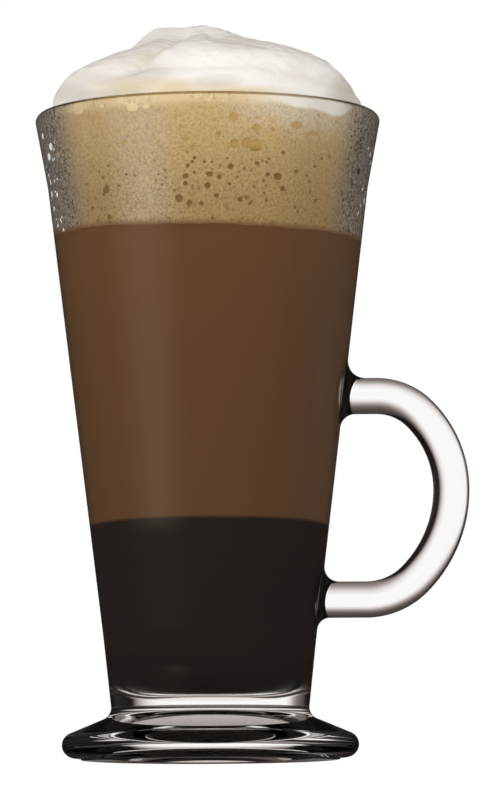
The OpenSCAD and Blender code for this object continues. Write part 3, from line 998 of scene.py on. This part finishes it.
def ellipse(n, x, seen, spot, edge):
    """1 in the middle of an ellipse (x, seen height, half width, half height), 0 at its edge."""
    cx, ch, wide, tall = spot
    dx = n.times(n.minus(x, cx * MM), 1 / (wide * MM))
    dh = n.times(n.minus(seen, ch * MM), 1 / (tall * MM))
    return n.step(n.plus(n.times(dx, dx), n.times(dh, dh)), edge, 0.0)


def cream_material():
    n = new_material("cream")
    place = position(n)
    x, y, z = n.axes(place)
    seen = n.plus(z, n.times(y, -SEEN_TILT))
    body = n.mix(noise(n, place, 120.0, 3.0), CREAM, CREAM_COOL)
    # Painted shade over the left side of the cream
    body = n.mix(n.times(n.step(x, 0.004, -0.018), 0.42), body, CREAM_PAINTED_SHADE)
    # Coffee has stained the cream low down at the left and in two hollows
    streaks = noise(n, squeezed(n, place, (0.55, 1.0, 1.6)), 260.0, 3.0)
    for *spot, amount in STAINS:
        stain = n.times(ellipse(n, x, seen, spot, 1.5), n.times(streaks, 1.6), amount)
        body = n.mix(stain, body, STAIN)
    # Painted shade in the hollows, low at both ends and where the cream turns from the view
    for *spot, amount in PAINTED_SHADE_SPOTS:
        body = n.mix(n.times(ellipse(n, x, seen, spot, 1.6), amount), body, CREAM_PAINTED_SHADE)
    facing = n.add("LayerWeight", {"Blend": 0.5})["Facing"]
    body = n.mix(n.times(n.step(facing, 0.76, 1.0), 0.5), body, CREAM_PAINTED_SHADE)
    grain = noise(n, place, 1700.0)
    froth = cells(n, place, 1100.0)["Distance"]
    wrinkles = noise(n, squeezed(n, place, (0.5, 0.8, 1.7)), 420.0, 3.0)
    height = n.plus(n.times(grain, 0.5), n.times(froth, -0.4))
    height = n.plus(height, n.times(wrinkles, 1.8))
    return n.finish(matt(n, body, bump(n, height, 0.8, 0.25), 0.7))


def spread_ramp(n, value, unit, stops):
    """A ramp whose stops are places in a unit, from minus the last place up to the last."""
    span = stops[-1][0]
    share = n.line(value, 0.5 / (span * unit), 0.5)
    return n.ramp(share, [((place + span) / (2 * span), level) for place, level in stops])


DEGREE = math.radians(1)
# Light of the world on the drink, and what the glass mirrors: a dark room with one warm card
WORLD_LIGHT = (0.46, 0.44, 0.42)
MIRRORED_DARK = (0.014, 0.012, 0.011)
MIRRORED_CARD = (0.56, 0.5, 0.38)
WALL_TILT = 0.119
CARD_LINE = 0.075
# What shows through the glass: degrees from the backdrop, positive towards the handle, and up
THROUGH_AROUND = [
    (-180, 0.05), (-90, 0.05), (-60, 0.1), (60, 0.1), (90, 0.12), (120, 0.05), (180, 0.05),
]
THROUGH_UP = [(-90, 0.2), (-50, 0.4), (-20, 1), (20, 1), (50, 0.3), (90, 0.1)]
CARD_AROUND = [
    (-180, 0), (-161, 0), (-151, 0.4), (-138, 0.95), (-124, 0.95), (-111, 0.45), (-95, 0),
    (180, 0),
]


def make_world():
    """White to the camera, soft light on the drink, and a studio of its own for the glass."""
    world = bpy.data.worlds.new("studio")
    bpy.context.scene.world = world
    n = Nodes(world)
    x, y, z = n.axes(n.add("TexCoord")["Generated"])
    around, up = n.math("ARCTAN2", x, y), n.math("ARCSINE", z)
    beside = spread_ramp(n, around, DEGREE, THROUGH_AROUND)
    through = n.mix(1.0, beside, spread_ramp(n, up, DEGREE, THROUGH_UP), "MULTIPLY")
    # The card stands at the left front; the bowl shows it only above the black coffee's line
    flat = n.math("SQRT", n.plus(n.times(x, x), n.times(y, y)))
    turned = n.math("SQRT", n.times(n.minus(1.0, n.math("DIVIDE", y, flat)), 0.5))
    line = n.plus(z, n.times(turned, 2 * WALL_TILT))
    card = n.times(spread_ramp(n, around, DEGREE, CARD_AROUND), n.step(line, 0.16, 0.14))
    above = n.line(n.step(line, CARD_LINE - 0.0015, CARD_LINE + 0.0015), 0.88, 0.12)
    mirrored = n.mix(n.times(card, above), MIRRORED_DARK, MIRRORED_CARD)
    path = n.add("LightPath")
    colour = n.mix(path["Is Glossy Ray"], WORLD_LIGHT, mirrored)
    colour = n.mix(path["Is Transmission Ray"], colour, through)
    colour = n.mix(path["Is Camera Ray"], colour, WHITE)
    n.finish(n.add("Background", {"Color": colour})[0], "OutputWorld")


def add_square(name, half, material, upright=False):
    """A level or an upright square about the origin, for the stage."""
    corners = [(-half, -half), (half, -half), (half, half), (-half, half)]
    verts = [(a, 0, b) if upright else (a, b, 0) for a, b in corners]
    square = new_object(name, verts, [(0, 1, 2, 3)], [material])
    return square


# Levels of the backdrop across and upward, in millimetres, and its colour over the level.
# Weak light from its edges is a little warmer.
BACKDROP_ACROSS = [
    (-2500, 0.1), (-1000, 0.1), (-628, 0.16), (-500, 0.22), (-420, 0.42), (-376, 0.76), (-321, 1),
    (130, 1), (165, 0.95), (219, 0.78), (260, 0.48), (300, 0.25), (325, 0.045), (345, 0.015),
    (600, 0.022), (1200, 0.09), (2500, 0.17),
]
BACKDROP_UP = [
    (-2500, 0.1), (-600, 0.18), (-278, 0.28), (-228, 0.33), (-145, 0.53), (-84, 0.77), (-29, 0.91),
    (15, 1), (175, 0.99), (208, 0.82), (249, 0.52), (306, 0.25), (357, 0.15), (434, 0.095),
    (600, 0.068), (2500, 0.05),
]
BACKDROP_COLOURS = [
    (0.0, (0.0, 0.0, 0.0)), (0.13, (0.138, 0.113, 0.103)), (0.5, (0.53, 0.471, 0.448)),
    (0.85, (0.9, 0.86, 0.84)), (1.0, (1.06, 1.05, 1.03)),
]
BACKDROP_PLACE = 435.0
FLOOR_HALF = 1500.0
FLOOR_DROP = 0.05


def make_backdrop():
    """The lit card behind the mug, which only rays that went through the glass see."""
    n = new_material("backdrop")
    x, _, z = n.axes(position(n))
    across, upward = spread_ramp(n, x, MM, BACKDROP_ACROSS), spread_ramp(n, z, MM, BACKDROP_UP)
    colour = n.ramp(n.times(across, upward), BACKDROP_COLOURS)
    material = n.finish(n.add("Emission", {"Color": colour})[0])
    material.cycles.emission_sampling = "NONE"
    card = add_square("backdrop", BACKDROP_ACROSS[-1][0], material, upright=True)
    card.location.y = BACKDROP_PLACE * MM
    for kind in ("camera", "diffuse", "glossy", "volume_scatter", "shadow"):
        setattr(card, "visible_" + kind, False)


def make_floor():
    """A pale floor that the glass doesn't show."""
    n = new_material("floor")
    white = n.add("BsdfDiffuse", {"Color": (0.9, 0.9, 0.9)})[0]
    clear = n.add("BsdfTransparent")[0]
    under = n.add("NewGeometry")["Backfacing"]
    path = n.add("LightPath")
    hidden = n.math("MAXIMUM", under, path["Is Glossy Ray"])
    hidden = n.math("MAXIMUM", hidden, path["Is Transmission Ray"])
    floor = add_square("floor", FLOOR_HALF, n.finish(n.shader_mix(hidden, white, clear)))
    floor.location.z = -FLOOR_DROP * MM


LAMP_SIZE = 500.0
LAMP_TARGET = (0.0, 0.0, 90.0)


def make_lamp(name, place, watts):
    """A soft square lamp in millimetres that lights the drink but doesn't show in the glass."""
    data = bpy.data.lights.new(name, "AREA")
    data.size = LAMP_SIZE * MM
    data.energy = watts
    lamp = link_object(name, data)
    lamp.location = Vector(place) * MM
    aim = Vector(LAMP_TARGET) * MM - lamp.location
    lamp.rotation_euler = aim.to_track_quat("-Z", "Y").to_euler()
    lamp.visible_glossy = False
    lamp.visible_transmission = False
    lamp.visible_camera = False


# The photograph's frame and what it shows, in pixels and millimetres
FRAME_LONG_SIDE = 800
FOCAL_PIXELS = 5661.0
SENSOR = 36.0
CAMERA_DISTANCE = 1308.0
CAMERA_HEIGHT = -45.0
AIM = (8.5, 0.0, 83.33)
CAMERA_ROLL = math.radians(-0.3)
CLIP_START, CLIP_END = 0.05, 20.0


def make_camera():
    data = bpy.data.cameras.new("camera")
    data.sensor_width = SENSOR
    data.lens = FOCAL_PIXELS / FRAME_LONG_SIDE * SENSOR
    data.clip_start, data.clip_end = CLIP_START, CLIP_END
    camera = link_object("camera", data)
    camera.location = Vector((AIM[0], -CAMERA_DISTANCE, CAMERA_HEIGHT)) * MM
    look = (Vector(AIM) * MM - camera.location).to_track_quat("-Z", "Y")
    roll = Matrix.Rotation(CAMERA_ROLL, 4, "Z").to_quaternion()
    camera.rotation_mode = "QUATERNION"
    camera.rotation_quaternion = look @ roll
    bpy.context.scene.camera = camera


make_bowl()
make_foot()
make_handle()
make_black_coffee()
make_milky_coffee()
make_foam()
make_crown()
make_world()
make_backdrop()
make_lamp("key", (-690, -620, 465), 5.1)
make_lamp("fill", (640, -560, 330), 2.5)
make_floor()
make_camera()

scene = bpy.context.scene
scene.view_settings.view_transform = "Standard"
scene.cycles.transmission_bounces = 16
scene.cycles.transparent_max_bounces = 24
scene.cycles.max_bounces = 20
scene.cycles.caustics_reflective = False
scene.cycles.caustics_refractive = False
